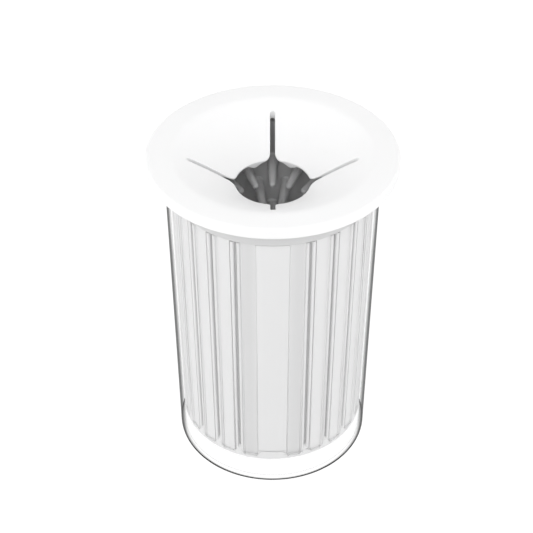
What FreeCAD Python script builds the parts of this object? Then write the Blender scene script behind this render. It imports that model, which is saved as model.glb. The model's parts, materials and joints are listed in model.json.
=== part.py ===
import FreeCAD, Part

# Paw washer cup: a clear tapered cup with a fluted white sleeve hanging in it.
# The sleeve holds a silicone liner with rows of scrubbing fingers, and a silicone
# splash collar with a funnel and four flexible petals sits on top.
# Millimetres, +Z up, origin at the centre of the cup's underside, front towards -Y.

import math
import os

V = FreeCAD.Vector
AXIS_START = V(0, 0, 0)
AXIS_DIRECTION = V(0, 0, 1)

# ---- driving dimensions: the whole object ----
OVERALL_HEIGHT = 148.4
CUP_BASE_RADIUS = 41.6
CUP_FLARE = 2.9               # growth of the cup's outer radius from base to rim
FLANGE_OVERHANG = 7.5         # how far the collar reaches past the cup's rim

# ---- driving dimensions: clear cup ----
CUP_WALL = 1.5
CUP_FLOOR = 2.2
CUP_BASE_ROUND = 3.5
CUP_FLOOR_ROUND = 2.4         # inside corner between floor and wall
CUP_RIM_ROUND = 0.5

# ---- driving dimensions: fluted sleeve ----
SLEEVE_RISE = 12.6            # clear space left under the sleeve
SLEEVE_GAP = 0.7              # between the sleeve and the inside of the cup
SLEEVE_WALL = 3.1
SLEEVE_FOOT = 1.8             # thickness of the inward foot that carries the liner
SLEEVE_FOOT_ROUND = 0.8
GROOVE_COUNT = 22             # narrow grooves, all but the front gap evenly spaced
GROOVE_FIRST_ANGLE = 21.2     # degrees each side of the front centre line
GROOVE_WIDTH = 1.15
GROOVE_DEPTH = 1.5
GROOVE_RISE = 4.6             # lower end of the grooves above the sleeve's foot
GROOVE_RAMP = 2.2             # height of the ramp at a groove's lower end
CHANNEL_WIDTH = 6.4
CHANNEL_DEPTH = 0.85
CHANNEL_RISE = 2.0            # lower end of the channels above the sleeve's foot
CHANNEL_CORNER = 0.7          # rounding along the bottom corners of a channel
CHANNEL_END_ROUND = 2.4       # rounding of a channel's lower end, seen from outside
LIP_ROUND = 0.7               # rounding of the lips beside grooves and channels
PANEL_HALF_ANGLE = 9.3        # plain front panel
PANEL_RECESS = 0.4
PANEL_RISE = 4.8
FRONT_FLUTE_DEPTH = 1.15      # wide scoop on each side of the front panel

# ---- driving dimensions: hanger ring ----
RING_GAP = 0.4                # between the ring and the inside of the cup
RING_SKIRT = 10.7             # how far the ring reaches down into the cup
RING_SKIRT_WALL = 2.1
RING_SKIRT_CHAMFER = 0.6
RING_PLATE = 1.8              # thickness of the plate that lies over the cup's rim
RING_OVERHANG = 4.0           # how far the plate reaches past the cup's rim
RING_SHADOW_GAP = 0.4         # open line between the ring and the sleeve's shoulder
RING_FIT = 0.05               # glue line between the ring and the sleeve's spigot
RIM_CLEARANCE = 0.3           # between the cup's rim and the plate above it

# ---- driving dimensions: silicone liner and fingers ----
LINER_WALL = 1.5
LINER_TOP_DROP = 10.0         # top of the liner below the collar's top
ROW_COUNT = 8
FINGERS_PER_ROW = 18
TOP_ROW_DROP = 31.0           # tips of the top row below the collar's top
BOTTOM_ROW_RISE = 20.8        # tips of the lowest row above the sleeve's foot
FINGER_LENGTH = 17.8
FINGER_ROOT_RADIUS = 2.4
FINGER_TIP_RADIUS = 1.45
FINGER_DROOP = 7.0            # degrees that a finger slopes down towards its tip
FINGER_ROOT_SINK = 0.7        # rough root, trimmed off flush with the liner

# ---- driving dimensions: silicone collar, funnel and petals ----
FLANGE_THICKNESS = 4.9
FLANGE_TOP_ROUND = 1.2
FLANGE_UNDER_ROUND = 0.8
COLLAR_CLEARANCE = 0.35       # between the collar and the ring that it sits on
FUNNEL_RIM_MARGIN = 1.7       # funnel's upper rim outside the sleeve's bore
FUNNEL_RIM_ROUND = 3.0
FUNNEL_BOW = 0.62             # how far the funnel bulges above a straight cone
MOUTH_RADIUS = 15.5
MOUTH_DROP = 14.7             # upper edge of the mouth below the collar's top
MOUTH_THICKNESS = 2.7         # height of the silicone's edge around the mouth
SLIT_WIDTH = 2.1
SLIT_END_MARGIN = 4.0         # slits end this far inside the sleeve's bore
SLIT_FLARE = 3.5              # rounding where a slit opens into the mouth
PETAL_GAP = 0.35              # cut between a petal and the collar
PETAL_RELIEF = 13.0           # degrees that a petal's root leans away from the collar
PETAL_ROOT_HALF_WIDTH = 12.0  # the bending line reaches this far each side of a petal's middle
PETAL_FREE_RADIUS = 23.9      # inside this radius a petal reaches the slits beside it

# ---- sizes that follow from the driving ones ----
FLANGE_UNDER_Z = OVERALL_HEIGHT - FLANGE_THICKNESS
CUP_RIM_Z = FLANGE_UNDER_Z - RIM_CLEARANCE
CUP_TOP_RADIUS = CUP_BASE_RADIUS + CUP_FLARE
FLANGE_RADIUS = CUP_TOP_RADIUS + FLANGE_OVERHANG
SLEEVE_FOOT_Z = SLEEVE_RISE
LINER_BOTTOM_Z = SLEEVE_FOOT_Z + SLEEVE_FOOT
LINER_TOP_Z = OVERALL_HEIGHT - LINER_TOP_DROP
RING_BOTTOM_Z = FLANGE_UNDER_Z - RING_SKIRT
SHOULDER_Z = RING_BOTTOM_Z - RING_SHADOW_GAP
PLATE_TOP_Z = FLANGE_UNDER_Z + RING_PLATE


def cup_outer_radius(z):
    return CUP_BASE_RADIUS + CUP_FLARE * z / CUP_RIM_Z


def cup_inner_radius(z):
    return cup_outer_radius(z) - CUP_WALL


def sleeve_radius(z):
    return cup_inner_radius(z) - SLEEVE_GAP


def bore_radius(z):
    return sleeve_radius(z) - SLEEVE_WALL


def liner_radius(z):
    return bore_radius(z) - LINER_WALL


RING_RADIUS = cup_inner_radius(RING_BOTTOM_Z) - RING_GAP
SPIGOT_RADIUS = RING_RADIUS - RING_SKIRT_WALL
PLATE_RADIUS = CUP_TOP_RADIUS + RING_OVERHANG
BORE_TOP_RADIUS = bore_radius(FLANGE_UNDER_Z)
NECK_RADIUS = BORE_TOP_RADIUS - COLLAR_CLEARANCE
FUNNEL_RIM_RADIUS = BORE_TOP_RADIUS + FUNNEL_RIM_MARGIN
SLIT_END_RADIUS = BORE_TOP_RADIUS - SLIT_END_MARGIN
MOUTH_Z = OVERALL_HEIGHT - MOUTH_DROP
MOUTH_UNDER_Z = MOUTH_Z - MOUTH_THICKNESS
ROOT_DISTANCE = SLIT_END_RADIUS / math.sqrt(2)      # axis to a petal's straight root


# ---- helpers ----
def line(a, b):
    return Part.makeLine(V(a[0], 0, a[1]), V(b[0], 0, b[1]))


def bowed(a, b, bow):
    """Arc from a to b in the (radius, height) plane, its middle raised by bow."""
    middle = V((a[0] + b[0]) / 2, 0, (a[1] + b[1]) / 2 + bow)
    return Part.Arc(V(a[0], 0, a[1]), middle, V(b[0], 0, b[1])).toShape()


def turned(edges):
    """Solid of revolution from a closed outline of (radius, height) edges."""
    face = Part.Face(Part.Wire(edges))
    return face.revolve(AXIS_START, AXIS_DIRECTION, 360)


def turned_polygon(points):
    closed = points + points[:1]
    return turned([line(a, b) for a, b in zip(closed, closed[1:])])


def round_edge(shape, size, radius, z):
    """Fillet the circular edge of the given radius and height."""
    def matches(edge):
        curve = edge.Curve
        if not isinstance(curve, Part.Circle):
            return False
        return abs(curve.Radius - radius) < 0.01 and abs(curve.Center.z - z) < 0.01
    return shape.makeFillet(size, [edge for edge in shape.Edges if matches(edge)])


def around(shape, angle):
    """Copy of a shape turned about the object's axis."""
    copy = shape.copy()
    copy.rotate(AXIS_START, AXIS_DIRECTION, angle)
    return copy


# ---- clear cup ----
def make_outer_cup():
    outside = Part.makeCone(CUP_BASE_RADIUS, CUP_TOP_RADIUS, CUP_RIM_Z)
    outside = round_edge(outside, CUP_BASE_ROUND, CUP_BASE_RADIUS, 0)
    floor_radius = cup_inner_radius(CUP_FLOOR)
    rim_radius = cup_inner_radius(CUP_RIM_Z)
    inside = Part.makeCone(floor_radius, rim_radius, CUP_RIM_Z - CUP_FLOOR, V(0, 0, CUP_FLOOR))
    inside = round_edge(inside, CUP_FLOOR_ROUND, floor_radius, CUP_FLOOR)
    cup = outside.cut(inside)
    cup = round_edge(cup, CUP_RIM_ROUND, CUP_TOP_RADIUS, CUP_RIM_Z)
    return round_edge(cup, CUP_RIM_ROUND, rim_radius, CUP_RIM_Z)


# ---- fluted sleeve ----
def lip_arc(side, surface_radius, half_width):
    """Rounded lip beside a cut: the arc and its end on the sleeve's surface."""
    lean = math.asin((half_width + LIP_ROUND) / (surface_radius - LIP_ROUND))
    centre_x = half_width + LIP_ROUND
    centre_y = (surface_radius - LIP_ROUND) * math.cos(lean)
    start = V(side * half_width, centre_y, 0)
    turn = (math.pi + math.pi / 2 - lean) / 2
    middle = V(side * (centre_x + LIP_ROUND * math.cos(turn)), centre_y + LIP_ROUND * math.sin(turn), 0)
    end = V(side * surface_radius * math.sin(lean), surface_radius * math.cos(lean), 0)
    return start, middle, end


def cut_outline(surface_radius, half_width, depth, corner, z):
    """Cross-section of a lengthwise cut, open outwards, centred on +Y at height z."""
    floor_y = surface_radius - depth
    outer_y = surface_radius + 2
    right_start, right_middle, right_end = lip_arc(1, surface_radius, half_width)
    left_start, left_middle, left_end = lip_arc(-1, surface_radius, half_width)
    edges = [
        Part.makeLine(V(-half_width + corner, floor_y, 0), V(half_width - corner, floor_y, 0)),
        Part.Arc(
            V(half_width - corner, floor_y, 0),
            V(half_width - corner * (1 - math.sqrt(0.5)), floor_y + corner * (1 - math.sqrt(0.5)), 0),
            V(half_width, floor_y + corner, 0)).toShape(),
        Part.makeLine(V(half_width, floor_y + corner, 0), right_start),
        Part.Arc(right_start, right_middle, right_end).toShape(),
        Part.makeLine(right_end, V(right_end.x, outer_y, 0)),
        Part.makeLine(V(right_end.x, outer_y, 0), V(left_end.x, outer_y, 0)),
        Part.makeLine(V(left_end.x, outer_y, 0), left_end),
        Part.Arc(left_end, left_middle, left_start).toShape(),
        Part.makeLine(left_start, V(-half_width, floor_y + corner, 0)),
        Part.Arc(
            V(-half_width, floor_y + corner, 0),
            V(-half_width + corner * (1 - math.sqrt(0.5)), floor_y + corner * (1 - math.sqrt(0.5)), 0),
            V(-half_width + corner, floor_y, 0)).toShape(),
    ]
    outline = Part.Wire(edges)
    outline.translate(V(0, 0, z))
    return outline


def lengthwise_cutter(half_width, depth, corner, low_z):
    """Tool that cuts a groove or channel up the sleeve's side, following its taper."""
    high_z = SHOULDER_Z + 1
    low = cut_outline(sleeve_radius(low_z), half_width, depth, corner, low_z)
    high = cut_outline(sleeve_radius(high_z), half_width, depth, corner, high_z)
    return Part.makeLoft([low, high], True, True)


def make_groove_cutter():
    low_z = SLEEVE_FOOT_Z + GROOVE_RISE
    corner = GROOVE_WIDTH / 4
    cutter = lengthwise_cutter(GROOVE_WIDTH / 2, GROOVE_DEPTH, corner, low_z)
    radius = sleeve_radius(low_z)
    ramp = Part.makePolygon([
        V(0, radius, low_z), V(0, radius - GROOVE_DEPTH, low_z + GROOVE_RAMP),
        V(0, radius - 2 * GROOVE_DEPTH, low_z + GROOVE_RAMP), V(0, radius - 2 * GROOVE_DEPTH, low_z - 1),
        V(0, radius + 3, low_z - 1), V(0, radius + 3, low_z), V(0, radius, low_z)])
    wedge = Part.Face(ramp).extrude(V(4 * GROOVE_WIDTH, 0, 0))
    wedge.translate(V(-2 * GROOVE_WIDTH, 0, 0))
    return cutter.cut(wedge)


def make_channel_cutter(width, depth, corner):
    low_z = SLEEVE_FOOT_Z + CHANNEL_RISE
    cutter = lengthwise_cutter(width / 2, depth, corner, low_z)
    half = width / 2 + LIP_ROUND
    radius = sleeve_radius(low_z)
    frame = Part.makeBox(2 * half, 6, SHOULDER_Z, V(-half, radius - 3, low_z))
    lower_corners = [
        edge for edge in frame.Edges
        if abs(edge.CenterOfMass.z - low_z) < 0.01 and abs(abs(edge.CenterOfMass.x) - half) < 0.01]
    frame = frame.makeFillet(CHANNEL_END_ROUND, lower_corners)
    return cutter.common(frame)


def make_panel_cutter():
    """Thin wedge-shaped slice that sets the plain front panel back."""
    low_z = SLEEVE_FOOT_Z + PANEL_RISE
    high_z = SHOULDER_Z + 1
    slice_outline = [
        line((sleeve_radius(low_z) - PANEL_RECESS, low_z), (sleeve_radius(low_z) + 2, low_z)),
        line((sleeve_radius(low_z) + 2, low_z), (sleeve_radius(high_z) + 2, high_z)),
        line((sleeve_radius(high_z) + 2, high_z), (sleeve_radius(high_z) - PANEL_RECESS, high_z)),
        line((sleeve_radius(high_z) - PANEL_RECESS, high_z), (sleeve_radius(low_z) - PANEL_RECESS, low_z)),
    ]
    face = Part.Face(Part.Wire(slice_outline))
    panel = face.revolve(AXIS_START, AXIS_DIRECTION, 2 * PANEL_HALF_ANGLE)
    return around(panel, 90 - PANEL_HALF_ANGLE)


def make_fluted_sleeve():
    foot_radius = sleeve_radius(SLEEVE_FOOT_Z)
    body = turned_polygon([
        (liner_radius(LINER_BOTTOM_Z), SLEEVE_FOOT_Z), (foot_radius, SLEEVE_FOOT_Z),
        (sleeve_radius(SHOULDER_Z), SHOULDER_Z), (SPIGOT_RADIUS - RING_FIT, SHOULDER_Z),
        (SPIGOT_RADIUS - RING_FIT, FLANGE_UNDER_Z), (BORE_TOP_RADIUS, FLANGE_UNDER_Z),
        (bore_radius(LINER_BOTTOM_Z), LINER_BOTTOM_Z), (liner_radius(LINER_BOTTOM_Z), LINER_BOTTOM_Z)])
    body = round_edge(body, SLEEVE_FOOT_ROUND, foot_radius, SLEEVE_FOOT_Z)
    groove = make_groove_cutter()
    channel = make_channel_cutter(CHANNEL_WIDTH, CHANNEL_DEPTH, CHANNEL_CORNER)
    pitch = (360 - 2 * GROOVE_FIRST_ANGLE) / (GROOVE_COUNT - 1)
    cutters = [make_panel_cutter()]
    for index in range(GROOVE_COUNT):
        cutters.append(around(groove, GROOVE_FIRST_ANGLE + index * pitch))
    for index in range(GROOVE_COUNT - 1):
        cutters.append(around(channel, GROOVE_FIRST_ANGLE + (index + 0.5) * pitch))
    # The two scoops beside the front panel fill the space between it and the first lip.
    mid_radius = sleeve_radius((SLEEVE_FOOT_Z + SHOULDER_Z) / 2)
    lip_angle = math.degrees((GROOVE_WIDTH / 2 + 2 * LIP_ROUND) / mid_radius)
    scoop_span = GROOVE_FIRST_ANGLE - lip_angle - PANEL_HALF_ANGLE
    scoop_width = math.radians(scoop_span) * mid_radius
    scoop = make_channel_cutter(scoop_width, FRONT_FLUTE_DEPTH, FRONT_FLUTE_DEPTH / 2)
    for side in (-1, 1):
        cutters.append(around(scoop, side * (PANEL_HALF_ANGLE + scoop_span / 2)))
    # The cutters are drawn about +Y; the front of the object faces -Y.
    turned_cutters = [around(cutter, 180) for cutter in cutters]
    return body.cut(turned_cutters)


# ---- hanger ring ----
def make_hanger_ring():
    return turned_polygon([
        (SPIGOT_RADIUS, RING_BOTTOM_Z), (RING_RADIUS - RING_SKIRT_CHAMFER, RING_BOTTOM_Z),
        (RING_RADIUS, RING_BOTTOM_Z + RING_SKIRT_CHAMFER), (RING_RADIUS, FLANGE_UNDER_Z),
        (PLATE_RADIUS, FLANGE_UNDER_Z), (PLATE_RADIUS, PLATE_TOP_Z),
        (BORE_TOP_RADIUS, PLATE_TOP_Z), (BORE_TOP_RADIUS, FLANGE_UNDER_Z),
        (SPIGOT_RADIUS, FLANGE_UNDER_Z)])


# ---- silicone liner and its fingers ----
def make_bristle_liner():
    return turned_polygon([
        (liner_radius(LINER_BOTTOM_Z), LINER_BOTTOM_Z), (bore_radius(LINER_BOTTOM_Z), LINER_BOTTOM_Z),
        (bore_radius(LINER_TOP_Z), LINER_TOP_Z), (liner_radius(LINER_TOP_Z), LINER_TOP_Z)])


def make_finger(tip_z, liner):
    """One tapered, round-ended finger on the +X side, its root flush with the liner."""
    slope = math.radians(FINGER_DROOP)
    root_radius = liner_radius(tip_z + FINGER_LENGTH * math.sin(slope))
    inward = V(-math.cos(slope), 0, -math.sin(slope))
    tip = V(root_radius - FINGER_LENGTH, 0, tip_z)
    centre = tip - inward * FINGER_TIP_RADIUS
    root = V(root_radius + FINGER_ROOT_SINK, 0, 0)
    root.z = centre.z + (root.x - centre.x) * math.tan(slope)
    length = (centre - root).Length
    shaft = Part.makeCone(FINGER_ROOT_RADIUS, FINGER_TIP_RADIUS, length, root, inward)
    ball = Part.makeSphere(FINGER_TIP_RADIUS, centre)
    return shaft.fuse(ball).removeSplitter().cut(liner)


def make_bristle_row(row, liner):
    top_z = OVERALL_HEIGHT - TOP_ROW_DROP
    bottom_z = SLEEVE_FOOT_Z + BOTTOM_ROW_RISE
    tip_z = top_z + (bottom_z - top_z) * row / (ROW_COUNT - 1)
    pitch = 360 / FINGERS_PER_ROW
    start = 90 + (row % 2) * pitch / 2
    finger = make_finger(tip_z, liner)
    return Part.makeCompound([around(finger, start + index * pitch) for index in range(FINGERS_PER_ROW)])


# ---- silicone collar and petals ----
def make_funnel():
    """Flange and funnel as one ring, before the mouth, slits and petals are cut."""
    flange_top = (FLANGE_RADIUS, OVERALL_HEIGHT)
    flange_under = (FLANGE_RADIUS, FLANGE_UNDER_Z)
    pocket_edge = PLATE_RADIUS + COLLAR_CLEARANCE
    pocket_z = PLATE_TOP_Z + COLLAR_CLEARANCE
    rim = (FUNNEL_RIM_RADIUS, OVERALL_HEIGHT)
    mouth_top = (MOUTH_RADIUS, MOUTH_Z)
    mouth_under = (MOUTH_RADIUS, MOUTH_UNDER_Z)
    neck = (NECK_RADIUS, FLANGE_UNDER_Z)
    funnel = turned([
        line(flange_top, flange_under),
        line(flange_under, (pocket_edge, FLANGE_UNDER_Z)),
        line((pocket_edge, FLANGE_UNDER_Z), (pocket_edge, pocket_z)),
        line((pocket_edge, pocket_z), (NECK_RADIUS, pocket_z)),
        line((NECK_RADIUS, pocket_z), neck),
        bowed(neck, mouth_under, FUNNEL_BOW),
        line(mouth_under, mouth_top),
        bowed(mouth_top, rim, FUNNEL_BOW),
        line(rim, flange_top)])
    funnel = round_edge(funnel, FUNNEL_RIM_ROUND, FUNNEL_RIM_RADIUS, OVERALL_HEIGHT)
    funnel = round_edge(funnel, FLANGE_TOP_ROUND, FLANGE_RADIUS, OVERALL_HEIGHT)
    return round_edge(funnel, FLANGE_UNDER_ROUND, FLANGE_RADIUS, FLANGE_UNDER_Z)


def make_mouth_cutter():
    """Upright prism of the mouth and its four slits, flared where they meet."""
    low_z = MOUTH_UNDER_Z - 5
    height = OVERALL_HEIGHT + 5 - low_z
    prism = Part.makeCylinder(MOUTH_RADIUS, height, V(0, 0, low_z))
    half = SLIT_WIDTH / 2
    straight = SLIT_END_RADIUS - half
    for turn in (0, 90):
        slit = Part.makeBox(2 * straight, SLIT_WIDTH, height, V(-straight, -half, low_z))
        for end in (-straight, straight):
            slit = slit.fuse(Part.makeCylinder(half, height, V(end, 0, low_z)))
        prism = prism.fuse(around(slit.removeSplitter(), turn))
    prism = prism.removeSplitter()
    meeting = math.sqrt(MOUTH_RADIUS ** 2 - half ** 2)
    corners = []
    for edge in prism.Edges:
        x, y, z = edge.CenterOfMass
        places = sorted((abs(x), abs(y)))
        upright = edge.BoundBox.ZLength > height / 2
        if upright and abs(places[0] - half) < 0.01 and abs(places[1] - meeting) < 0.01:
            corners.append(edge)
    return prism.makeFillet(SLIT_FLARE, corners)


def petal_outline(scale, z):
    """Outline of all four petals' roots: straight in front of each, set back beside each slit."""
    spread = math.degrees(math.atan(PETAL_ROOT_HALF_WIDTH / ROOT_DISTANCE))
    corner_radius = math.hypot(PETAL_ROOT_HALF_WIDTH, ROOT_DISTANCE)
    points = []
    for slit_angle in (0, 90, 180, 270):
        points.append((PETAL_FREE_RADIUS, slit_angle))
        points.append((corner_radius, slit_angle + 45 - spread))
        points.append((corner_radius, slit_angle + 45 + spread))
    corners = []
    for radius, angle in points + points[:1]:
        turn = math.radians(angle)
        corners.append(V(scale * radius * math.cos(turn), scale * radius * math.sin(turn), z))
    return Part.makePolygon(corners)


def petal_block(low_z, low_scale, high_z, high_scale):
    """Upright block that holds the four petals and leaves out the collar."""
    return Part.makeLoft([petal_outline(low_scale, low_z), petal_outline(high_scale, high_z)], True, True)


def petal_axis_height():
    """Height of the petals' bending axes: on the straight line under the funnel."""
    share = (NECK_RADIUS - ROOT_DISTANCE) / (NECK_RADIUS - MOUTH_RADIUS)
    return FLANGE_UNDER_Z + (MOUTH_UNDER_Z - FLANGE_UNDER_Z) * share


def make_splash_collar(funnel, mouth):
    scale = 1 + PETAL_GAP / 2 / ROOT_DISTANCE
    inside = petal_block(MOUTH_UNDER_Z - 5, scale, OVERALL_HEIGHT + 5, scale)
    return funnel.cut([mouth, inside])


def make_petals(funnel, mouth):
    axis_z = petal_axis_height()
    low_z = MOUTH_UNDER_Z - 5
    high_z = OVERALL_HEIGHT + 5
    lean = math.tan(math.radians(PETAL_RELIEF)) / ROOT_DISTANCE
    base_scale = 1 - PETAL_GAP / 2 / ROOT_DISTANCE
    low_scale = base_scale + (axis_z - low_z) * lean
    high_scale = base_scale - (high_z - axis_z) * lean
    pieces = funnel.common(petal_block(low_z, low_scale, high_z, high_scale)).cut(mouth).Solids
    petals = {}
    for piece in pieces:
        depth_name = "back" if piece.CenterOfMass.y > 0 else "front"
        side_name = "right" if piece.CenterOfMass.x > 0 else "left"
        petals["petal_" + depth_name + "_" + side_name] = piece
    return petals


# ---- assembly ----
def main():
    os.makedirs("parts", exist_ok=True)
    nodes = {}
    nodes["outer_cup"] = make_outer_cup()
    nodes["fluted_sleeve"] = make_fluted_sleeve()
    nodes["hanger_ring"] = make_hanger_ring()
    liner = make_bristle_liner()
    nodes["bristle_liner"] = liner
    for row in range(ROW_COUNT):
        nodes["bristle_row_" + str(row + 1)] = make_bristle_row(row, liner)
    funnel = make_funnel()
    mouth = make_mouth_cutter()
    nodes["splash_collar"] = make_splash_collar(funnel, mouth)
    nodes.update(make_petals(funnel, mouth))
    for name, shape in nodes.items():
        solids = len(shape.Solids)
        print(name, "solids", solids, "volume", round(shape.Volume), "valid", shape.isValid())
        shape.exportStep("parts/" + name + ".step")
    print("petal axis: distance", round(ROOT_DISTANCE, 3), "height", round(petal_axis_height(), 3))
    print("slit ends", round(SLIT_END_RADIUS, 3), "funnel rim", round(FUNNEL_RIM_RADIUS, 3))
    print("finger tips at", round(liner_radius(OVERALL_HEIGHT - TOP_ROW_DROP) - FINGER_LENGTH, 2))


main()
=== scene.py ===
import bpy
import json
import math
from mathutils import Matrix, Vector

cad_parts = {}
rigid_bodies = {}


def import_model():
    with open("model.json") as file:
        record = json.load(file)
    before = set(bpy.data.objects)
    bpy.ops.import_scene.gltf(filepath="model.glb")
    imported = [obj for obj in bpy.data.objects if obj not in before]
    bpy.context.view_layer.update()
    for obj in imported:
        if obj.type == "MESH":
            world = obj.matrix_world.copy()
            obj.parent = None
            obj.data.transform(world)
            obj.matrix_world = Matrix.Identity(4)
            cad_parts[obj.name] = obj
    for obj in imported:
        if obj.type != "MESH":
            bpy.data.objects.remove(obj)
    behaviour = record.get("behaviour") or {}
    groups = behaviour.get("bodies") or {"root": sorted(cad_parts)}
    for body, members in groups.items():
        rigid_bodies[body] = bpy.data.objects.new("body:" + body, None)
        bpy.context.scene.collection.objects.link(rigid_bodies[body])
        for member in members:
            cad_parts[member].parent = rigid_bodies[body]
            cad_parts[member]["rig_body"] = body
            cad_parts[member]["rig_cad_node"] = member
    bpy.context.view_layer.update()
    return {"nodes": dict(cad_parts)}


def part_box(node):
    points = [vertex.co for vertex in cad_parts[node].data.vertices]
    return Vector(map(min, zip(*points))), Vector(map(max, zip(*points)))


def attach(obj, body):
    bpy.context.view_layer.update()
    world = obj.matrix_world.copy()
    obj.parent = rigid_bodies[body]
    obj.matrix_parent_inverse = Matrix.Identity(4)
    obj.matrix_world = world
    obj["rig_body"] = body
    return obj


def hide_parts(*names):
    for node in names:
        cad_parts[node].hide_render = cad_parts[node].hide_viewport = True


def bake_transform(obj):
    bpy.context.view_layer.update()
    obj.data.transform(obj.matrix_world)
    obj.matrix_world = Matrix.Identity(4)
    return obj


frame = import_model()

# %% [markdown]
# # A paw washer cup
# A clear tapered cup holds a fluted white sleeve. Inside the sleeve is a grey silicone
# liner with rows of soft fingers, and a white silicone collar with a funnel and four
# petals closes the top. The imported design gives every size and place, and each piece
# here replaces its plain design solid with one that is finished for looks.

MM = 0.001
cup_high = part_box("outer_cup")[1]
collar_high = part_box("splash_collar")[1]
ring_low, ring_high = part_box("hanger_ring")
liner_low, liner_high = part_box("bristle_liner")

CUP_RIM_Z = cup_high.z
CUP_TOP_RADIUS = cup_high.x
FLANGE_RADIUS = collar_high.x
TOP_Z = collar_high.z
RING_BOTTOM_Z = ring_low.z
PLATE_RADIUS = ring_high.x
PLATE_TOP_Z = ring_high.z
print("collar", round(FLANGE_RADIUS / MM, 1), "mm radius, top at", round(TOP_Z / MM, 1), "mm")

# %% [markdown]
# ## The sizes of the mouldings
# The boxes above fix the outside. The wall thicknesses, roundings and the shape of the
# funnel are the mouldings' own sizes, so they are named here once.

# %% Named sizes
CUP_BASE_RADIUS = 41.6 * MM
CUP_WALL = 1.5 * MM
CUP_FLOOR = 2.2 * MM
CUP_BASE_ROUND = 3.5 * MM
CUP_FLOOR_ROUND = 2.4 * MM
SLEEVE_GAP = 0.7 * MM
SLEEVE_WALL = 3.1 * MM
LINER_WALL = 1.5 * MM
FLANGE_THICKNESS = 4.9 * MM
COLLAR_CLEARANCE = 0.35 * MM
FUNNEL_RIM_MARGIN = 1.7 * MM
FUNNEL_BOW = 0.62 * MM
MOUTH_RADIUS = 15.5 * MM
MOUTH_DROP = 14.7 * MM
MOUTH_THICKNESS = 2.7 * MM
SLIT_WIDTH = 2.1 * MM
SLIT_END_MARGIN = 4.0 * MM
SLIT_FLARE = 3.5 * MM

UNDER_Z = TOP_Z - FLANGE_THICKNESS
CUP_SLOPE = (CUP_TOP_RADIUS - CUP_BASE_RADIUS) / CUP_RIM_Z


def cup_radius(z):
    """Outer radius of the clear cup at a height."""
    return CUP_BASE_RADIUS + CUP_SLOPE * z


def bore_radius(z):
    """Radius of the sleeve's bore, where the liner sits."""
    return cup_radius(z) - CUP_WALL - SLEEVE_GAP - SLEEVE_WALL


BORE_TOP_RADIUS = bore_radius(UNDER_Z)
NECK_RADIUS = BORE_TOP_RADIUS - COLLAR_CLEARANCE
FUNNEL_RIM_RADIUS = BORE_TOP_RADIUS + FUNNEL_RIM_MARGIN
SLIT_END_RADIUS = BORE_TOP_RADIUS - SLIT_END_MARGIN
MOUTH_Z = TOP_Z - MOUTH_DROP
ROOT_DISTANCE = SLIT_END_RADIUS / math.sqrt(2)
print("slits end at", round(SLIT_END_RADIUS / MM, 2), "mm, petals bend at", round(ROOT_DISTANCE / MM, 2))

# %% [markdown]
# ## A lathe
# Most of these mouldings are round, so one helper draws half of a section and spins it,
# as on a lathe. The section is drawn by extruding one vertex from point to point, which
# keeps the points that matter and nothing else.

# %% Lathe helpers
TURN_STEPS = 192
SAME_PLACE = 0.001 * MM       # points closer than this are merged


def arc(centre, radius, start, end, steps):
    """Points of an arc in the section plane, angles in degrees."""
    angles = [math.radians(start + (end - start) * step / steps) for step in range(steps + 1)]
    return [(centre[0] + radius * math.cos(a), centre[1] + radius * math.sin(a)) for a in angles]


def draw_chain(name, places, closed):
    """A chain of edges through (x, y, z) places, left in edit mode."""
    bpy.ops.object.select_all(action="DESELECT")
    bpy.ops.mesh.primitive_plane_add(size=MM)
    piece = bpy.context.object
    piece.name = name
    piece.data.name = name
    bpy.ops.object.mode_set(mode="EDIT")
    bpy.ops.mesh.select_all(action="SELECT")
    bpy.ops.mesh.merge(type="CENTER")
    bpy.ops.transform.translate(value=places[0])
    path = places + places[:1] if closed else places
    for a, b in zip(path, path[1:]):
        move = (b[0] - a[0], b[1] - a[1], b[2] - a[2])
        bpy.ops.mesh.extrude_vertices_move(TRANSFORM_OT_translate={"value": move})
    bpy.ops.mesh.select_all(action="SELECT")
    bpy.ops.mesh.remove_doubles(threshold=SAME_PLACE)
    return piece


def turn_section(name, points, closed, steps=TURN_STEPS):
    """Spins a section round the Z axis into one closed moulding."""
    piece = draw_chain(name, [(radius, 0, z) for radius, z in points], closed)
    bpy.ops.mesh.select_all(action="SELECT")
    bpy.ops.mesh.spin(steps=steps, angle=2 * math.pi, center=(0, 0, 0), axis=(0, 0, 1))
    bpy.ops.mesh.select_all(action="SELECT")
    bpy.ops.mesh.remove_doubles(threshold=SAME_PLACE)
    bpy.ops.mesh.normals_make_consistent(inside=False)
    bpy.ops.object.mode_set(mode="OBJECT")
    smooth(piece)
    print(name, len(piece.data.polygons), "faces")
    return piece


def smooth(piece, angle=35):
    """Smooth shading, with edges sharper than the angle left crisp."""
    bpy.ops.object.select_all(action="DESELECT")
    piece.select_set(True)
    bpy.context.view_layer.objects.active = piece
    bpy.ops.object.shade_smooth_by_angle(angle=math.radians(angle))


# %% [markdown]
# ## Finishes
# Every finish is a small node tree. Moulded plastic and silicone are never perfectly
# even, so each one reads noise in Object coordinates: a broad, faint change of tone and
# gloss, and a fine grain that only the bump sees.

# %% Opaque finishes
MOTTLE_SCALE = 45
GRAIN_STRENGTH = 0.25


def noise(nodes, scale, detail, coordinates, links):
    texture = nodes.new("ShaderNodeTexNoise")
    texture.inputs["Scale"].default_value = scale
    texture.inputs["Detail"].default_value = detail
    links.new(coordinates.outputs["Object"], texture.inputs["Vector"])
    return texture


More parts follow.
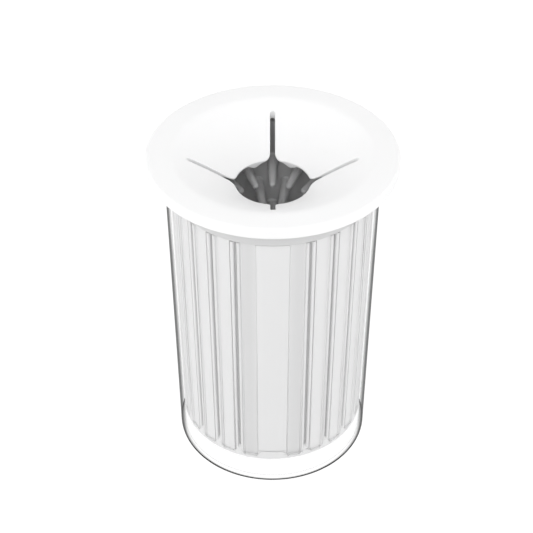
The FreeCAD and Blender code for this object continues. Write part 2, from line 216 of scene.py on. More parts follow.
def blend_range(nodes, links, source, low, high):
    """Maps noise, which runs from 0 to 1, to a small range of values."""
    ranged = nodes.new("ShaderNodeMapRange")
    ranged.inputs["From Min"].default_value = 0.3
    ranged.inputs["From Max"].default_value = 0.7
    ranged.inputs["To Min"].default_value = low
    ranged.inputs["To Max"].default_value = high
    links.new(source, ranged.inputs["Value"])
    return ranged.outputs["Result"]


def moulded(name, tone, roughness, grain_scale, grain_depth, tone_change=0.012, soft=0.0):
    """A moulded plastic or silicone: one tone with faint mottling and a fine grain."""
    material = bpy.data.materials.new(name)
    material.use_nodes = True
    nodes = material.node_tree.nodes
    links = material.node_tree.links
    shader = nodes["Principled BSDF"]
    coordinates = nodes.new("ShaderNodeTexCoord")
    broad = noise(nodes, MOTTLE_SCALE, 3, coordinates, links)
    fine = noise(nodes, grain_scale, 4, coordinates, links)
    tones = nodes.new("ShaderNodeMix")
    tones.data_type = "RGBA"
    tones.inputs["A"].default_value = [part * (1 - tone_change) for part in tone] + [1]
    tones.inputs["B"].default_value = [min(1, part * (1 + tone_change)) for part in tone] + [1]
    links.new(broad.outputs["Fac"], tones.inputs["Factor"])
    links.new(tones.outputs["Result"], shader.inputs["Base Color"])
    gloss = blend_range(nodes, links, fine.outputs["Fac"], roughness * 0.94, roughness * 1.06)
    links.new(gloss, shader.inputs["Roughness"])
    bump = nodes.new("ShaderNodeBump")
    bump.inputs["Strength"].default_value = GRAIN_STRENGTH
    bump.inputs["Distance"].default_value = grain_depth
    links.new(fine.outputs["Fac"], bump.inputs["Height"])
    links.new(bump.outputs["Normal"], shader.inputs["Normal"])
    shader.inputs["Subsurface Weight"].default_value = soft
    shader.inputs["Subsurface Radius"].default_value = (0.004, 0.004, 0.004)
    shader.inputs["Subsurface Scale"].default_value = 1.0
    return material


WHITE_PLASTIC = moulded("white_plastic_satin", (0.69, 0.69, 0.692), 0.38, 1400, 0.02 * MM)
# The ring's plastic is a darker copy of the white plastic: painted shade for the flange's shadow over
# it.
RING_PLASTIC_SHADED = moulded("white_plastic_ring_painted_shade", (0.58, 0.58, 0.582), 0.42, 1400, 0.02 * MM)
WHITE_SILICONE = moulded("white_silicone_matte", (0.84, 0.84, 0.842), 0.55, 2200, 0.03 * MM)
# Painted light: the liner's and fingers' greys are lighter than the silicone's own grey, the fingers
# more so, so that they show in the shade inside the sleeve.
GREY_SILICONE_PAINTED_LIGHT = moulded("grey_silicone_matte_painted_light", (0.54, 0.54, 0.542), 0.5, 1800, 0.05 * MM, 0.05)
FINGER_SILICONE_PAINTED_LIGHT = moulded("grey_silicone_fingers_painted_light", (0.66, 0.66, 0.662), 0.45, 1800, 0.05 * MM, 0.05)

# %% [markdown]
# The narrow grooves look darker on the real sleeve than light alone makes them here, so
# shade is painted in: the finish works out how deep a point lies under the sleeve's skin,
# from its distance to the axis, and darkens the tone below the depth of the broad channels.

# %% Painted shade in the grooves
def paint_groove_shade(material, skin_low, skin_slope, from_depth, to_depth, tone):
    """Paints shade into a finish: multiplies its tone down where it lies deep under a tapered skin."""
    nodes = material.node_tree.nodes
    links = material.node_tree.links
    coordinates = nodes.new("ShaderNodeTexCoord")
    parts = nodes.new("ShaderNodeSeparateXYZ")
    links.new(coordinates.outputs["Object"], parts.inputs["Vector"])
    flat = nodes.new("ShaderNodeCombineXYZ")
    links.new(parts.outputs["X"], flat.inputs["X"])
    links.new(parts.outputs["Y"], flat.inputs["Y"])
    reach = nodes.new("ShaderNodeVectorMath")
    reach.operation = "LENGTH"
    links.new(flat.outputs["Vector"], reach.inputs[0])
    skin = nodes.new("ShaderNodeMath")
    skin.operation = "MULTIPLY_ADD"
    skin.inputs[1].default_value = skin_slope
    skin.inputs[2].default_value = skin_low
    links.new(parts.outputs["Z"], skin.inputs[0])
    depth = nodes.new("ShaderNodeMath")
    depth.operation = "SUBTRACT"
    links.new(skin.outputs["Value"], depth.inputs[0])
    links.new(reach.outputs["Value"], depth.inputs[1])
    amount = nodes.new("ShaderNodeMapRange")
    amount.inputs["From Min"].default_value = from_depth
    amount.inputs["From Max"].default_value = to_depth
    amount.inputs["To Min"].default_value = 1
    amount.inputs["To Max"].default_value = tone
    links.new(depth.outputs["Value"], amount.inputs["Value"])
    shader = nodes["Principled BSDF"]
    plain = shader.inputs["Base Color"].links[0].from_socket
    scale = nodes.new("ShaderNodeVectorMath")
    scale.operation = "SCALE"
    links.new(plain, scale.inputs[0])
    links.new(amount.outputs["Result"], scale.inputs["Scale"])
    links.new(scale.outputs["Vector"], shader.inputs["Base Color"])


SKIN_LOW = CUP_BASE_RADIUS - CUP_WALL - SLEEVE_GAP
# Painted shade: deep in the grooves the sleeve's tone falls to about two thirds.
paint_groove_shade(WHITE_PLASTIC, SKIN_LOW, CUP_SLOPE, 0.95 * MM, 1.5 * MM, 0.68)
print("sleeve skin starts at", round(SKIN_LOW / MM, 1), "mm radius")

# %% [markdown]
# Clear plastic this thin hardly bends the view behind it. What the eye sees is a faint
# gloss and, where the wall turns edge-on, a dark line, because there the light travels
# a long way through the wall. A transparent shader whose tint deepens towards the edge
# gives both, with no noise, and it lets the light through to the sleeve. The gloss grows
# with the fifth power of Facing, which treats both sides of the wall alike. The Fresnel
# node doesn't: it turns the far side of a wall into a mirror.

# %% Clear finish
def clear(name, edge_tone, edge_start, edge_end, gloss_share):
    """Clear plastic: see-through face on, darker where the surface turns edge-on."""
    material = bpy.data.materials.new(name)
    material.use_nodes = True
    nodes = material.node_tree.nodes
    links = material.node_tree.links
    nodes.remove(nodes["Principled BSDF"])
    facing = nodes.new("ShaderNodeLayerWeight")
    facing.inputs["Blend"].default_value = 0.5
    edge = nodes.new("ShaderNodeMapRange")
    edge.interpolation_type = "SMOOTHSTEP"
    edge.inputs["From Min"].default_value = edge_start
    edge.inputs["From Max"].default_value = edge_end
    links.new(facing.outputs["Facing"], edge.inputs["Value"])
    tint = nodes.new("ShaderNodeMix")
    tint.data_type = "RGBA"
    tint.inputs["A"].default_value = (0.998, 0.998, 0.998, 1)
    tint.inputs["B"].default_value = (edge_tone, edge_tone * 1.01, edge_tone * 1.01, 1)
    links.new(edge.outputs["Result"], tint.inputs["Factor"])
    through = nodes.new("ShaderNodeBsdfTransparent")
    links.new(tint.outputs["Result"], through.inputs["Color"])
    shine = nodes.new("ShaderNodeBsdfGlossy")
    shine.inputs["Roughness"].default_value = 0.05
    shine.inputs["Color"].default_value = (0.9, 0.9, 0.9, 1)
    grazing = nodes.new("ShaderNodeMath")
    grazing.operation = "POWER"
    grazing.inputs[1].default_value = 5
    links.new(facing.outputs["Facing"], grazing.inputs[0])
    share = nodes.new("ShaderNodeMath")
    share.operation = "MULTIPLY_ADD"
    share.inputs[1].default_value = gloss_share
    share.inputs[2].default_value = 0.01
    links.new(grazing.outputs["Value"], share.inputs[0])
    mixed = nodes.new("ShaderNodeMixShader")
    links.new(share.outputs["Value"], mixed.inputs["Fac"])
    links.new(through.outputs["BSDF"], mixed.inputs[1])
    links.new(shine.outputs["BSDF"], mixed.inputs[2])
    links.new(mixed.outputs["Shader"], nodes["Material Output"].inputs["Surface"])
    return material


CLEAR_OUTSIDE = clear("clear_plastic_outside", 0.3, 0.75, 0.88, 0.2)
CLEAR_INSIDE = clear("clear_plastic_inside", 0.8, 0.9, 0.98, 0.1)
CLEAR_BASE_ROUND = clear("clear_plastic_base_round", 0.03, 0.3, 0.7, 0.02)
CLEAR_RIM_ROUND = clear("clear_plastic_rim_round", 0.6, 0.1, 0.9, 0.3)
CLEAR_FLOOR_ROUND = clear("clear_plastic_floor_round", 0.5, 0.72, 0.92, 0.05)
print("finishes", len(bpy.data.materials))


def finish_piece(piece, node, body, material):
    """Gives a finished piece its material, its body and the design solid it replaces."""
    piece.data.materials.clear()
    piece.data.materials.append(material)
    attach(piece, body)
    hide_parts(node)


# %% [markdown]
# ## The clear cup
# One thin wall from the rounded base edge to the rounded rim. Its section is drawn once,
# outside and inside, and turned. The inside faces take a calmer finish, because a second
# dark edge line so close to the first would make the wall look smoked. The rounds at the
# base and the rim act like small lenses, so their lines are wider than the wall's.

# %% Clear cup
rim_round = 0.55 * MM
base_centre = (cup_radius(CUP_BASE_ROUND) - CUP_BASE_ROUND, CUP_BASE_ROUND)
floor_radius = cup_radius(CUP_FLOOR) - CUP_WALL
floor_centre = (floor_radius - CUP_FLOOR_ROUND, CUP_FLOOR + CUP_FLOOR_ROUND)
rim_inner = CUP_TOP_RADIUS - CUP_WALL
wall_heights = [CUP_RIM_Z * share for share in (0.25, 0.5, 0.75)]
cup_section = [(0, 0), (base_centre[0] * 0.5, 0)]
cup_section += arc(base_centre, CUP_BASE_ROUND, -90, 0, 12)
cup_section += [(cup_radius(z), z) for z in wall_heights]
cup_section += arc((CUP_TOP_RADIUS - rim_round, CUP_RIM_Z - rim_round), rim_round, 0, 90, 5)
cup_section += arc((rim_inner + rim_round, CUP_RIM_Z - rim_round), rim_round, 90, 180, 5)
cup_section += [(cup_radius(z) - CUP_WALL, z) for z in reversed(wall_heights)]
cup_section += arc(floor_centre, CUP_FLOOR_ROUND, 0, -90, 8)
cup_section += [(floor_centre[0] * 0.5, CUP_FLOOR), (0, CUP_FLOOR)]
cup = turn_section("clear_cup", cup_section, closed=False, steps=256)
finish_piece(cup, "outer_cup", "cup", CLEAR_OUTSIDE)
for finish in (CLEAR_INSIDE, CLEAR_BASE_ROUND, CLEAR_RIM_ROUND, CLEAR_FLOOR_ROUND):
    cup.data.materials.append(finish)

NEARLY_FLAT = 0.985           # a face this level belongs to the floor or the underside
BASE_ROUND_START = -0.04      # how far down a face leans where the base round begins
FLOOR_ROUND_START = 0.06      # how far up it leans where the floor's inner round begins


def cup_finish(face):
    """Which of the cup's finishes a face takes, from its place and the way it faces."""
    towards_axis = face.normal.x * face.center.x + face.normal.y * face.center.y < 0
    if face.center.z > CUP_RIM_Z - rim_round:
        return 3
    if face.center.z < CUP_BASE_ROUND and -NEARLY_FLAT < face.normal.z < BASE_ROUND_START:
        return 2
    if face.center.z < CUP_FLOOR + CUP_FLOOR_ROUND and FLOOR_ROUND_START < face.normal.z < NEARLY_FLAT:
        return 4
    if towards_axis or face.normal.z > 0.5:
        return 1
    return 0


for face in cup.data.polygons:
    face.material_index = cup_finish(face)
print("cup faces by finish", [sum(f.material_index == k for f in cup.data.polygons) for k in range(5)])

# %% [markdown]
# ## The fluted sleeve
# The design already has the true flutes, lips and rounded channel ends. Its mesh is loose
# triangles, so a copy is merged and shaded smooth, and the copy takes the plastic finish.

# %% Fluted sleeve
def merged_copy(node, name, angle):
    """A merged and smoothed copy of a design solid."""
    bpy.ops.object.select_all(action="DESELECT")
    source = frame["nodes"][node]
    source.select_set(True)
    bpy.context.view_layer.objects.active = source
    bpy.ops.object.duplicate()
    piece = bpy.context.object
    bpy.ops.object.parent_clear(type="CLEAR_KEEP_TRANSFORM")
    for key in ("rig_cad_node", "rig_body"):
        if key in piece:
            del piece[key]
    piece.name = name
    piece.data.name = name
    bpy.ops.object.mode_set(mode="EDIT")
    bpy.ops.mesh.select_all(action="SELECT")
    bpy.ops.mesh.remove_doubles(threshold=0.002 * MM)
    bpy.ops.object.mode_set(mode="OBJECT")
    smooth(piece, angle)
    print(name, len(piece.data.polygons), "triangles")
    return piece


sleeve = merged_copy("fluted_sleeve", "white_fluted_sleeve", 28)
weigh = sleeve.modifiers.new("weighted_normals", "WEIGHTED_NORMAL")
weigh.mode = "FACE_AREA_WITH_ANGLE"
weigh.weight = 100
weigh.keep_sharp = True
bpy.ops.object.modifier_apply(modifier=weigh.name)
finish_piece(sleeve, "fluted_sleeve", "sleeve", WHITE_PLASTIC)

# %% [markdown]
# ## The hanger ring
# A stiff ring clamps the top of the sleeve: a skirt that reaches into the cup and a plate
# that lies over the rim, under the soft collar. Its visible lower edge is rounded.

# %% Hanger ring
RING_GAP = 0.4 * MM
RING_SKIRT_WALL = 2.1 * MM
ring_radius = cup_radius(RING_BOTTOM_Z) - CUP_WALL - RING_GAP
spigot_radius = ring_radius - RING_SKIRT_WALL
skirt_round = 0.7 * MM
plate_round = 0.3 * MM
ring_section = [(spigot_radius, RING_BOTTOM_Z)]
ring_section += arc((ring_radius - skirt_round, RING_BOTTOM_Z + skirt_round), skirt_round, -90, 0, 6)
ring_section += [(ring_radius, UNDER_Z)]
ring_section += arc((PLATE_RADIUS - plate_round, UNDER_Z + plate_round), plate_round, -90, 0, 3)
ring_section += arc((PLATE_RADIUS - plate_round, PLATE_TOP_Z - plate_round), plate_round, 0, 90, 3)
ring_section += [(BORE_TOP_RADIUS, PLATE_TOP_Z), (BORE_TOP_RADIUS, UNDER_Z), (spigot_radius, UNDER_Z)]
ring = turn_section("white_hanger_ring", ring_section, closed=True)
# The ring's darker tone is painted shade, for the shadow under the flange.
finish_piece(ring, "hanger_ring", "sleeve", RING_PLASTIC_SHADED)

# %% [markdown]
# ## The liner
# A soft tapered tube that fills the sleeve's bore, with a rounded upper edge.

# %% Liner
edge_round = 0.6 * MM
liner_bottom = (bore_radius(liner_low.z), liner_low.z)
liner_top_outer = bore_radius(liner_high.z)
liner_top_inner = liner_top_outer - LINER_WALL
liner_section = [(liner_bottom[0] - LINER_WALL, liner_low.z), liner_bottom]
liner_section += arc((liner_top_outer - edge_round, liner_high.z - edge_round), edge_round, 0, 90, 4)
liner_section += arc((liner_top_inner + edge_round, liner_high.z - edge_round), edge_round, 90, 180, 4)
liner = turn_section("silicone_liner", liner_section, closed=True)
finish_piece(liner, "bristle_liner", "sleeve", GREY_SILICONE_PAINTED_LIGHT)

# %% [markdown]
# ## The scrubbing fingers
# Each finger is soft silicone: a flared root, a taper and a round tip, sloping down a
# little towards the tip. One is turned on the lathe and laid in place, and its copies are
# turned round the axis, row by row, with every second row half a step round.

# %% One finger, then every row
FINGERS_PER_ROW = 18
FINGER_LENGTH = 17.8 * MM
FINGER_ROOT_RADIUS = 2.4 * MM
FINGER_TIP_RADIUS = 1.45 * MM
FINGER_DROOP = 7
ROOT_FLARE = 0.7 * MM
ROOT_SINK = 0.5 * MM

flare = [(FINGER_ROOT_RADIUS + ROOT_FLARE, 0), (FINGER_ROOT_RADIUS + ROOT_FLARE, ROOT_SINK)]
flare += [(FINGER_ROOT_RADIUS + ROOT_FLARE * 0.3, ROOT_SINK + ROOT_FLARE * 0.6)]
flare += [(FINGER_ROOT_RADIUS * 0.99, ROOT_SINK + ROOT_FLARE * 2)]
tip_centre = (0, ROOT_SINK + FINGER_LENGTH - FINGER_TIP_RADIUS)
finger_section = [(0, 0)] + flare + arc(tip_centre, FINGER_TIP_RADIUS, 4, 90, 4)
finger_section[-1] = (0, finger_section[-1][1])


def lay_finger(row_box, name, turn):
    """Copies the master finger into place on the liner's wall at an angle round the axis."""
    bpy.ops.object.select_all(action="DESELECT")
    master.select_set(True)
    bpy.context.view_layer.objects.active = master
    bpy.ops.object.duplicate()
    finger = bpy.context.object
    finger.name = name
    droop = math.radians(FINGER_DROOP)
    tip_z = row_box[0].z + FINGER_TIP_RADIUS
    root_z = tip_z + FINGER_LENGTH * math.sin(droop)
    root_radius = bore_radius(root_z) - LINER_WALL + ROOT_SINK
    finger.rotation_euler = (0, -math.pi / 2 - droop, turn)
    finger.location = (root_radius * math.cos(turn), root_radius * math.sin(turn), root_z)
    bpy.ops.object.transform_apply(location=True, rotation=True, scale=True)
    return finger


master = turn_section("finger_master", finger_section, closed=False, steps=14)
row_nodes = sorted(node for node in frame["nodes"] if node.startswith("bristle_row_"))
for index, node in enumerate(row_nodes):
    step = 2 * math.pi / FINGERS_PER_ROW
    start = math.pi / 2 + (index % 2) * step / 2
    fingers = [
        lay_finger(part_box(node), "finger_%d_%d" % (index, count), start + count * step)
        for count in range(FINGERS_PER_ROW)]
    bpy.ops.object.select_all(action="DESELECT")
    for finger in fingers:
        finger.select_set(True)
    bpy.context.view_layer.objects.active = fingers[0]
    bpy.ops.object.join()
    fingers[0].name = "silicone_fingers_row_%d" % (index + 1)
    finish_piece(fingers[0], node, "sleeve", FINGER_SILICONE_PAINTED_LIGHT)
bpy.data.objects.remove(master)
print("rows of fingers", len(row_nodes))

# %% [markdown]
# ## The collar and its petals
# The collar is one soft moulding: a flat flange, a funnel that bulges a little, and a
# round mouth with four slits. Cutting the slits out of a turned funnel would leave long
# uneven faces that catch the light. So the plan of the mouth and its slits is drawn as a
# loop of edges instead, and bridged to the circle where the funnel meets the flange.

# %% The plan of the mouth and its slits
RING_POINTS = 288             # points of every loop, 36 to an eighth of a turn
EDGE_ROUND = 0.22 * MM
SUPPORT = 0.5 * MM
JOIN_RADIUS = NECK_RADIUS - 1.2 * MM
SUPPORT_HEIGHT = 2 * MM       # the loops are drawn at heights of their own, see below
JOIN_HEIGHT = 30 * MM


def spread(a, b, count):
    """Evenly spaced points from a up to, but without, b."""
    return [(a[0] + (b[0] - a[0]) * k / count, a[1] + (b[1] - a[1]) * k / count) for k in range(count)]


def mouth_eighth(grow):
    """Plan of the mouth from the end of the +X slit round to 45 degrees, grown by some amount."""
    half = SLIT_WIDTH / 2 + grow
    end_x = SLIT_END_RADIUS - SLIT_WIDTH / 2
    flare_round = SLIT_FLARE - grow
    mouth = MOUTH_RADIUS + grow
    flare_y = half + flare_round
    flare_x = math.sqrt((mouth + flare_round) ** 2 - flare_y ** 2)
    touch = math.degrees(math.atan2(flare_y, flare_x))
    points = arc((end_x, 0), half, 0, 90, 6)[:-1]
    points += spread((end_x, half), (flare_x, half), 12)
    points += arc((flare_x, flare_y), flare_round, -90, touch - 180, 8)[:-1]
    points += arc((0, 0), mouth, touch, 45, 10)
    return points


def whole_loop(eighth):
    """Mirrors and turns an eighth of a loop into the whole of it."""
    quarter = eighth[:-1] + [(y, x) for x, y in reversed(eighth)][:-1]
    loop_points = []
    for turn in range(4):
        for x, y in quarter:
            for _ in range(turn):
                x, y = -y, x
            loop_points.append((x, y))
    return loop_points


def draw_loop(name, points, z):
    """A closed loop of edges through (x, y) points at one height."""
    loop = draw_chain(name, [(x, y, z) for x, y in points], closed=True)
    bpy.ops.object.mode_set(mode="OBJECT")
    return loop


outline = draw_loop("mouth_outline", whole_loop(mouth_eighth(0)), 0)
support = draw_loop("mouth_support", whole_loop(mouth_eighth(SUPPORT)), SUPPORT_HEIGHT)
bpy.ops.object.select_all(action="DESELECT")
bpy.ops.mesh.primitive_circle_add(
    vertices=RING_POINTS, radius=JOIN_RADIUS, location=(0, 0, JOIN_HEIGHT))
bpy.ops.object.transform_apply(location=True, rotation=True, scale=True)
join_circle = bpy.context.object
print("points in each loop", [len(loop.data.vertices) for loop in (outline, support, join_circle)])

# %% [markdown]
# The three loops are bridged into one skin with a hole the shape of the mouth. A narrow
# first band follows the outline, which leaves room to round the edge later, and the wide
# second band is cut into rows so that it can follow the funnel. The loops are drawn at
# different heights, because Bridge pairs loops wrongly when they lie inside each other.

# %% One rough skin
FUNNEL_ROWS = 20


def join_pieces(pieces):
    """Joins pieces into the first one, which is left active and selected."""
    bpy.ops.object.select_all(action="DESELECT")
    for piece in pieces:
        piece.select_set(True)
    bpy.context.view_layer.objects.active = pieces[0]
    if len(pieces) > 1:
        bpy.ops.object.join()
    return pieces[0]


def pick_vertices(piece, wanted):
    """Selects the vertices whose place passes a test, and leaves the piece in edit mode."""
    bpy.ops.object.mode_set(mode="EDIT")
    bpy.ops.mesh.select_mode(type="VERT")
    bpy.ops.mesh.select_all(action="DESELECT")
    bpy.ops.object.mode_set(mode="OBJECT")
    for vertex in piece.data.vertices:
        vertex.select = wanted(vertex.co)
    bpy.ops.object.mode_set(mode="EDIT")


rough_skin = join_pieces([outline, support])
bpy.ops.object.mode_set(mode="EDIT")
bpy.ops.mesh.select_all(action="SELECT")
bpy.ops.mesh.bridge_edge_loops()
bpy.ops.object.mode_set(mode="OBJECT")
rough_skin = join_pieces([rough_skin, join_circle])
pick_vertices(rough_skin, lambda place: place.z > SUPPORT_HEIGHT / 2)
bpy.ops.mesh.bridge_edge_loops(number_cuts=FUNNEL_ROWS, interpolation="LINEAR")
bpy.ops.object.mode_set(mode="OBJECT")
print("rough skin", len(rough_skin.data.polygons), "faces")

# %% [markdown]
# A copy of the rough skin becomes the underside. Each one is then dropped onto a gauge, a
# turned surface with the funnel's own bowed section, by a Shrinkwrap modifier that moves
# points only up or down.

# %% Funnel heights from two gauges
GAUGE_ROWS = 40
GAUGE_INNER_MARGIN = 1.5 * MM
GAUGE_OUTER_MARGIN = 1.0 * MM


def bowed_height(radius, outer, inner, bow):
    """Height on a bowed line between two (radius, height) points."""
    share = (outer[0] - radius) / (outer[0] - inner[0])
    return outer[1] + (inner[1] - outer[1]) * share + 4 * bow * share * (1 - share)


def funnel_top(radius):
    return bowed_height(radius, (FUNNEL_RIM_RADIUS, TOP_Z), (MOUTH_RADIUS, MOUTH_Z), FUNNEL_BOW)


def funnel_under(radius):
    mouth_under = (MOUTH_RADIUS, MOUTH_Z - MOUTH_THICKNESS)
    return bowed_height(radius, (NECK_RADIUS, UNDER_Z), mouth_under, FUNNEL_BOW)


def drop_onto(piece, height):
    """Moves every point of a piece up or down onto a turned gauge."""
    first = MOUTH_RADIUS - GAUGE_INNER_MARGIN
    last = JOIN_RADIUS + GAUGE_OUTER_MARGIN
    radii = [first + (last - first) * k / GAUGE_ROWS for k in range(GAUGE_ROWS + 1)]
    section = [(radius, height(radius)) for radius in radii]
    gauge = turn_section("gauge", section, closed=False, steps=RING_POINTS)
    bpy.ops.object.select_all(action="DESELECT")
    piece.select_set(True)
    bpy.context.view_layer.objects.active = piece
    wrap = piece.modifiers.new("drop", "SHRINKWRAP")
    wrap.target = gauge
    wrap.wrap_method = "PROJECT"
    wrap.use_project_z = True
    wrap.use_positive_direction = True
    wrap.use_negative_direction = True
    bpy.ops.object.modifier_apply(modifier=wrap.name)
    bpy.data.objects.remove(gauge)
    return piece


join_pieces([rough_skin])
bpy.ops.object.duplicate()
under_skin = drop_onto(bpy.context.object, funnel_under)
top_skin = drop_onto(rough_skin, funnel_top)
print("top skin from", round(min(vertex.co.z for vertex in top_skin.data.vertices) / MM, 2), "mm")

# %% [markdown]
# The silicone thins towards its lip, except for a pad on each petal beside the front and
# back slits. The lower edge is lifted everywhere else, with proportional editing, so the
# underside follows softly.

# %% Thin lip
LIP_LIFT = 2.0 * MM
LIP_REACH = 3.2 * MM          # how far outside the mouth the underside is lifted in full
LIP_BLEND = 5 * MM            # how far the lift fades out beyond that
PAD_FROM = 13                 # degrees from the front or back slit
PAD_TO = 43


def thin_lip(place):
    """True on the lower edge of the mouth, away from the pads."""
    from_slit = math.degrees(math.atan2(abs(place.x), abs(place.y)))
    at_edge = math.hypot(place.x, place.y) < MOUTH_RADIUS + LIP_REACH
    return at_edge and not PAD_FROM < from_slit < PAD_TO


join_pieces([under_skin])
pick_vertices(under_skin, thin_lip)
bpy.ops.transform.translate(
    value=(0, 0, LIP_LIFT), use_proportional_edit=True,
    proportional_edit_falloff="SMOOTH", proportional_size=LIP_BLEND)
bpy.ops.object.mode_set(mode="OBJECT")
places = [vertex.co for vertex in under_skin.data.vertices]
lifted = max(place.z - funnel_under(math.hypot(place.x, place.y)) for place in places)
print("lip lifted by", round(lifted / MM, 2), "mm")

# %% [markdown]
# The flange is turned on the lathe as an open shell. The two skins join it at the circle,
# the mouth's wall is bridged between their outlines, and its two edges are bevelled.

# %% Flange, wall and soft edges
def flange_section():
    """Section of the flange: soft inner rim, flat top, rounded outer edge, and the underside."""
    soft = 2.0 * MM
    section = [(JOIN_RADIUS, funnel_top(JOIN_RADIUS))]
    for k in range(7):
        t = k / 7
        start = (FUNNEL_RIM_RADIUS - soft, funnel_top(FUNNEL_RIM_RADIUS - soft))
        end = (FUNNEL_RIM_RADIUS + soft, TOP_Z)
        x = (1 - t) ** 2 * start[0] + 2 * t * (1 - t) * FUNNEL_RIM_RADIUS + t * t * end[0]
        z = (1 - t) ** 2 * start[1] + 2 * t * (1 - t) * TOP_Z + t * t * end[1]
        section.append((x, z))
    top_round = 1.3 * MM
    low_round = 0.9 * MM
    section += [(FUNNEL_RIM_RADIUS + soft, TOP_Z), (FUNNEL_RIM_RADIUS + 2 * soft, TOP_Z)]
    section += arc((FLANGE_RADIUS - top_round, TOP_Z - top_round), top_round, 90, 0, 8)
    section += arc((FLANGE_RADIUS - low_round, UNDER_Z + low_round), low_round, 0, -90, 6)
    pocket_edge = PLATE_RADIUS + COLLAR_CLEARANCE
    pocket_z = PLATE_TOP_Z + COLLAR_CLEARANCE
    section += [(pocket_edge, UNDER_Z), (pocket_edge, pocket_z), (NECK_RADIUS, pocket_z)]
    section += [(NECK_RADIUS, UNDER_Z), (JOIN_RADIUS, funnel_under(JOIN_RADIUS))]
    return section


flange = turn_section("silicone_collar", flange_section(), closed=False, steps=RING_POINTS)
collar = join_pieces([flange, top_skin, under_skin])
bpy.ops.object.mode_set(mode="EDIT")
bpy.ops.mesh.select_all(action="SELECT")
bpy.ops.mesh.remove_doubles(threshold=0.02 * MM)
bpy.ops.mesh.normals_make_consistent(inside=False)
bpy.ops.mesh.select_mode(type="EDGE")
bpy.ops.mesh.select_all(action="DESELECT")
bpy.ops.mesh.select_non_manifold(
    use_wire=False, use_boundary=True, use_multi_face=False, use_non_contiguous=False, use_verts=False)
bpy.ops.mesh.bridge_edge_loops()
bpy.ops.mesh.region_to_loop()
bpy.ops.mesh.bevel(offset=EDGE_ROUND, segments=3, profile=0.5, affect="EDGES", clamp_overlap=False)
bpy.ops.mesh.select_all(action="SELECT")
bpy.ops.mesh.normals_make_consistent(inside=False)
bpy.ops.object.mode_set(mode="OBJECT")
smooth(collar, 50)
print("collar", len(collar.data.polygons), "faces")

# %% [markdown]
# Each petal bends about the straight line between the ends of the two slits beside it.
# The skin is cut along those four lines and the petals are taken off as pieces of their
# own, each cut closed again. An uncut copy lends its shading to both sides, so at rest
# the cuts don't show.

# %% Petals cut from the collar
bpy.ops.object.duplicate()
uncut = bpy.context.object
uncut.name = "uncut_collar"
join_pieces([collar])


def in_quarter(place, turn):
    """True where a place is in the quarter of the plan that a direction points into."""
    return place.x * math.cos(turn) > 0 and place.y * math.sin(turn) > 0


CUT_INSET = 0.12 * MM         # keeps the cut off the very tips of the slits
CUT_DISTANCE = ROOT_DISTANCE - CUT_INSET


def inside_roots(place):
    return abs(place.x) + abs(place.y) < CUT_DISTANCE * math.sqrt(2)


def pick_faces(piece, wanted):
    """Selects the faces whose centre passes a test, and leaves the piece in edit mode."""
    bpy.ops.object.mode_set(mode="EDIT")
    bpy.ops.mesh.select_mode(type="FACE")
    bpy.ops.mesh.select_all(action="DESELECT")
    bpy.ops.object.mode_set(mode="OBJECT")
    for face in piece.data.polygons:
        face.select = wanted(face.center)
    bpy.ops.object.mode_set(mode="EDIT")


for quarter in range(4):
    turn = math.radians(45 + 90 * quarter)
    normal = (math.cos(turn), math.sin(turn), 0)
    pick_faces(collar, lambda place: in_quarter(place, turn))
    bpy.ops.mesh.bisect(plane_co=Vector(normal) * CUT_DISTANCE, plane_no=normal)
    bpy.ops.object.mode_set(mode="OBJECT")
pick_faces(collar, inside_roots)
bpy.ops.mesh.separate(type="SELECTED")
bpy.ops.object.mode_set(mode="OBJECT")
together = [piece for piece in bpy.context.selected_objects if piece != collar][0]
join_pieces([together])
bpy.ops.mesh.separate(type="LOOSE")
petals = list(bpy.context.selected_objects)
print("petals cut", len(petals))

# %% [markdown]
# The closed pieces take their shading from the uncut copy by a Data Transfer modifier.

# %% Close the cuts and lend the shading
def close_cuts(piece):
    join_pieces([piece])
    bpy.ops.object.mode_set(mode="EDIT")
    bpy.ops.mesh.select_all(action="SELECT")
    bpy.ops.mesh.fill_holes(sides=0)
    bpy.ops.mesh.select_all(action="SELECT")
    bpy.ops.mesh.normals_make_consistent(inside=False)
    bpy.ops.object.mode_set(mode="OBJECT")
    smooth(piece, 50)
    lend = piece.modifiers.new("lend_shading", "DATA_TRANSFER")
    lend.object = uncut
    lend.use_loop_data = True
    lend.data_types_loops = {"CUSTOM_NORMAL"}
    lend.loop_mapping = "POLYINTERP_NEAREST"
    bpy.ops.object.modifier_apply(modifier=lend.name)


close_cuts(collar)
finish_piece(collar, "splash_collar", "collar", WHITE_SILICONE)
for piece in petals:
    close_cuts(piece)
    middle = sum((vertex.co for vertex in piece.data.vertices), Vector()) / len(piece.data.vertices)
    depth_name = "back" if middle.y > 0 else "front"
    side_name = "right" if middle.x > 0 else "left"
    node = "petal_" + depth_name + "_" + side_name
    piece.name = "silicone_" + node
    piece.data.name = piece.name
    piece.data.materials.clear()
    piece.data.materials.append(WHITE_SILICONE)
    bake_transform(piece)
    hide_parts(node)
bpy.data.objects.remove(uncut)

# %% [markdown]
# ## Studio
# A plain pale floor, a surround that is whitest at the horizon, so that it meets the floor
# without a line, a broad soft light from above, a weak one from each side, and a fill
# light from the front that reaches through the mouth to the fingers. The floor glows,
# which keeps it white under a clear cup. The camera looks down from the front.

# %% Floor, lights and camera
FLOOR_DROP = 0.1 * MM         # keeps the floor off the cup's underside
FLOOR_TONE = 0.06
FLOOR_GLOW = 1.0
CAMERA_PLACE = (-0.00255, -0.5526, 0.5282)
CAMERA_TILT = 51.54           # degrees up from looking straight down
CAMERA_LENS = 111.26
CAMERA_SENSOR = 36

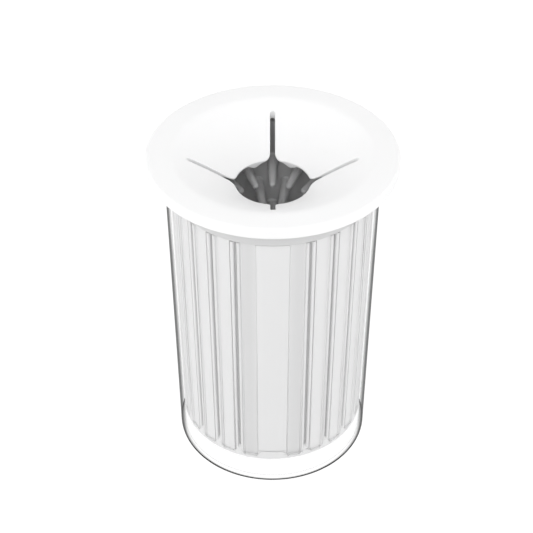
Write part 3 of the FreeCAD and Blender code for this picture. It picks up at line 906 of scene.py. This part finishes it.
bpy.ops.object.select_all(action="DESELECT")
bpy.ops.mesh.primitive_plane_add(size=8, location=(0, 0, -FLOOR_DROP))
floor = bpy.context.object
floor.name = "studio_floor"
floor_finish = bpy.data.materials.new("pale_floor")
floor_finish.use_nodes = True
floor_shader = floor_finish.node_tree.nodes["Principled BSDF"]
floor_shader.inputs["Base Color"].default_value = (FLOOR_TONE, FLOOR_TONE, FLOOR_TONE, 1)
floor_shader.inputs["Roughness"].default_value = 0.9
floor_shader.inputs["Emission Color"].default_value = (1, 1, 1, 1)
floor_shader.inputs["Emission Strength"].default_value = FLOOR_GLOW
floor.data.materials.append(floor_finish)


def soft_light(name, place, aim, size, power):
    bpy.ops.object.light_add(type="AREA", location=place)
    light = bpy.context.object
    light.name = name
    light.data.shape = "DISK"
    light.data.size = size
    light.data.energy = power
    light.rotation_euler = (Vector(aim) - Vector(place)).to_track_quat("-Z", "Y").to_euler()
    return light


soft_light("overhead_light", (0, 0.45, 1.7), (0, 0, 0.1), 1.6, 9.5)
soft_light("front_fill_light", (-0.1, -1.17, 1.06), (0, 0, 0.13), 0.8, 8)
soft_light("left_side_light", (-1.2, -0.1, 0.42), (0, 0, 0.08), 0.8, 3.4)
soft_light("right_side_light", (1.2, -0.1, 0.42), (0, 0, 0.08), 0.8, 3.4)
surround = bpy.data.worlds.new("white_surround")
surround.use_nodes = True
sky_nodes = surround.node_tree.nodes
sky_links = surround.node_tree.links
sky_nodes["Background"].inputs["Color"].default_value = (1, 1, 1, 1)
sky_place = sky_nodes.new("ShaderNodeTexCoord")
sky_parts = sky_nodes.new("ShaderNodeSeparateXYZ")
sky_links.new(sky_place.outputs["Generated"], sky_parts.inputs["Vector"])
sky_height = sky_nodes.new("ShaderNodeMapRange")
sky_height.inputs["From Min"].default_value = 0.08
sky_height.inputs["From Max"].default_value = 0.3
sky_height.inputs["To Min"].default_value = 1.0
sky_height.inputs["To Max"].default_value = 0.53
sky_links.new(sky_parts.outputs["Z"], sky_height.inputs["Value"])
sky_links.new(sky_height.outputs["Result"], sky_nodes["Background"].inputs["Strength"])
bpy.context.scene.world = surround
bpy.context.scene.view_settings.view_transform = "Standard"

bpy.ops.object.camera_add(location=CAMERA_PLACE, rotation=(math.radians(CAMERA_TILT), 0, 0))
camera = bpy.context.object
camera.name = "front_camera"
camera.data.lens = CAMERA_LENS
camera.data.sensor_width = CAMERA_SENSOR
bpy.context.scene.camera = camera
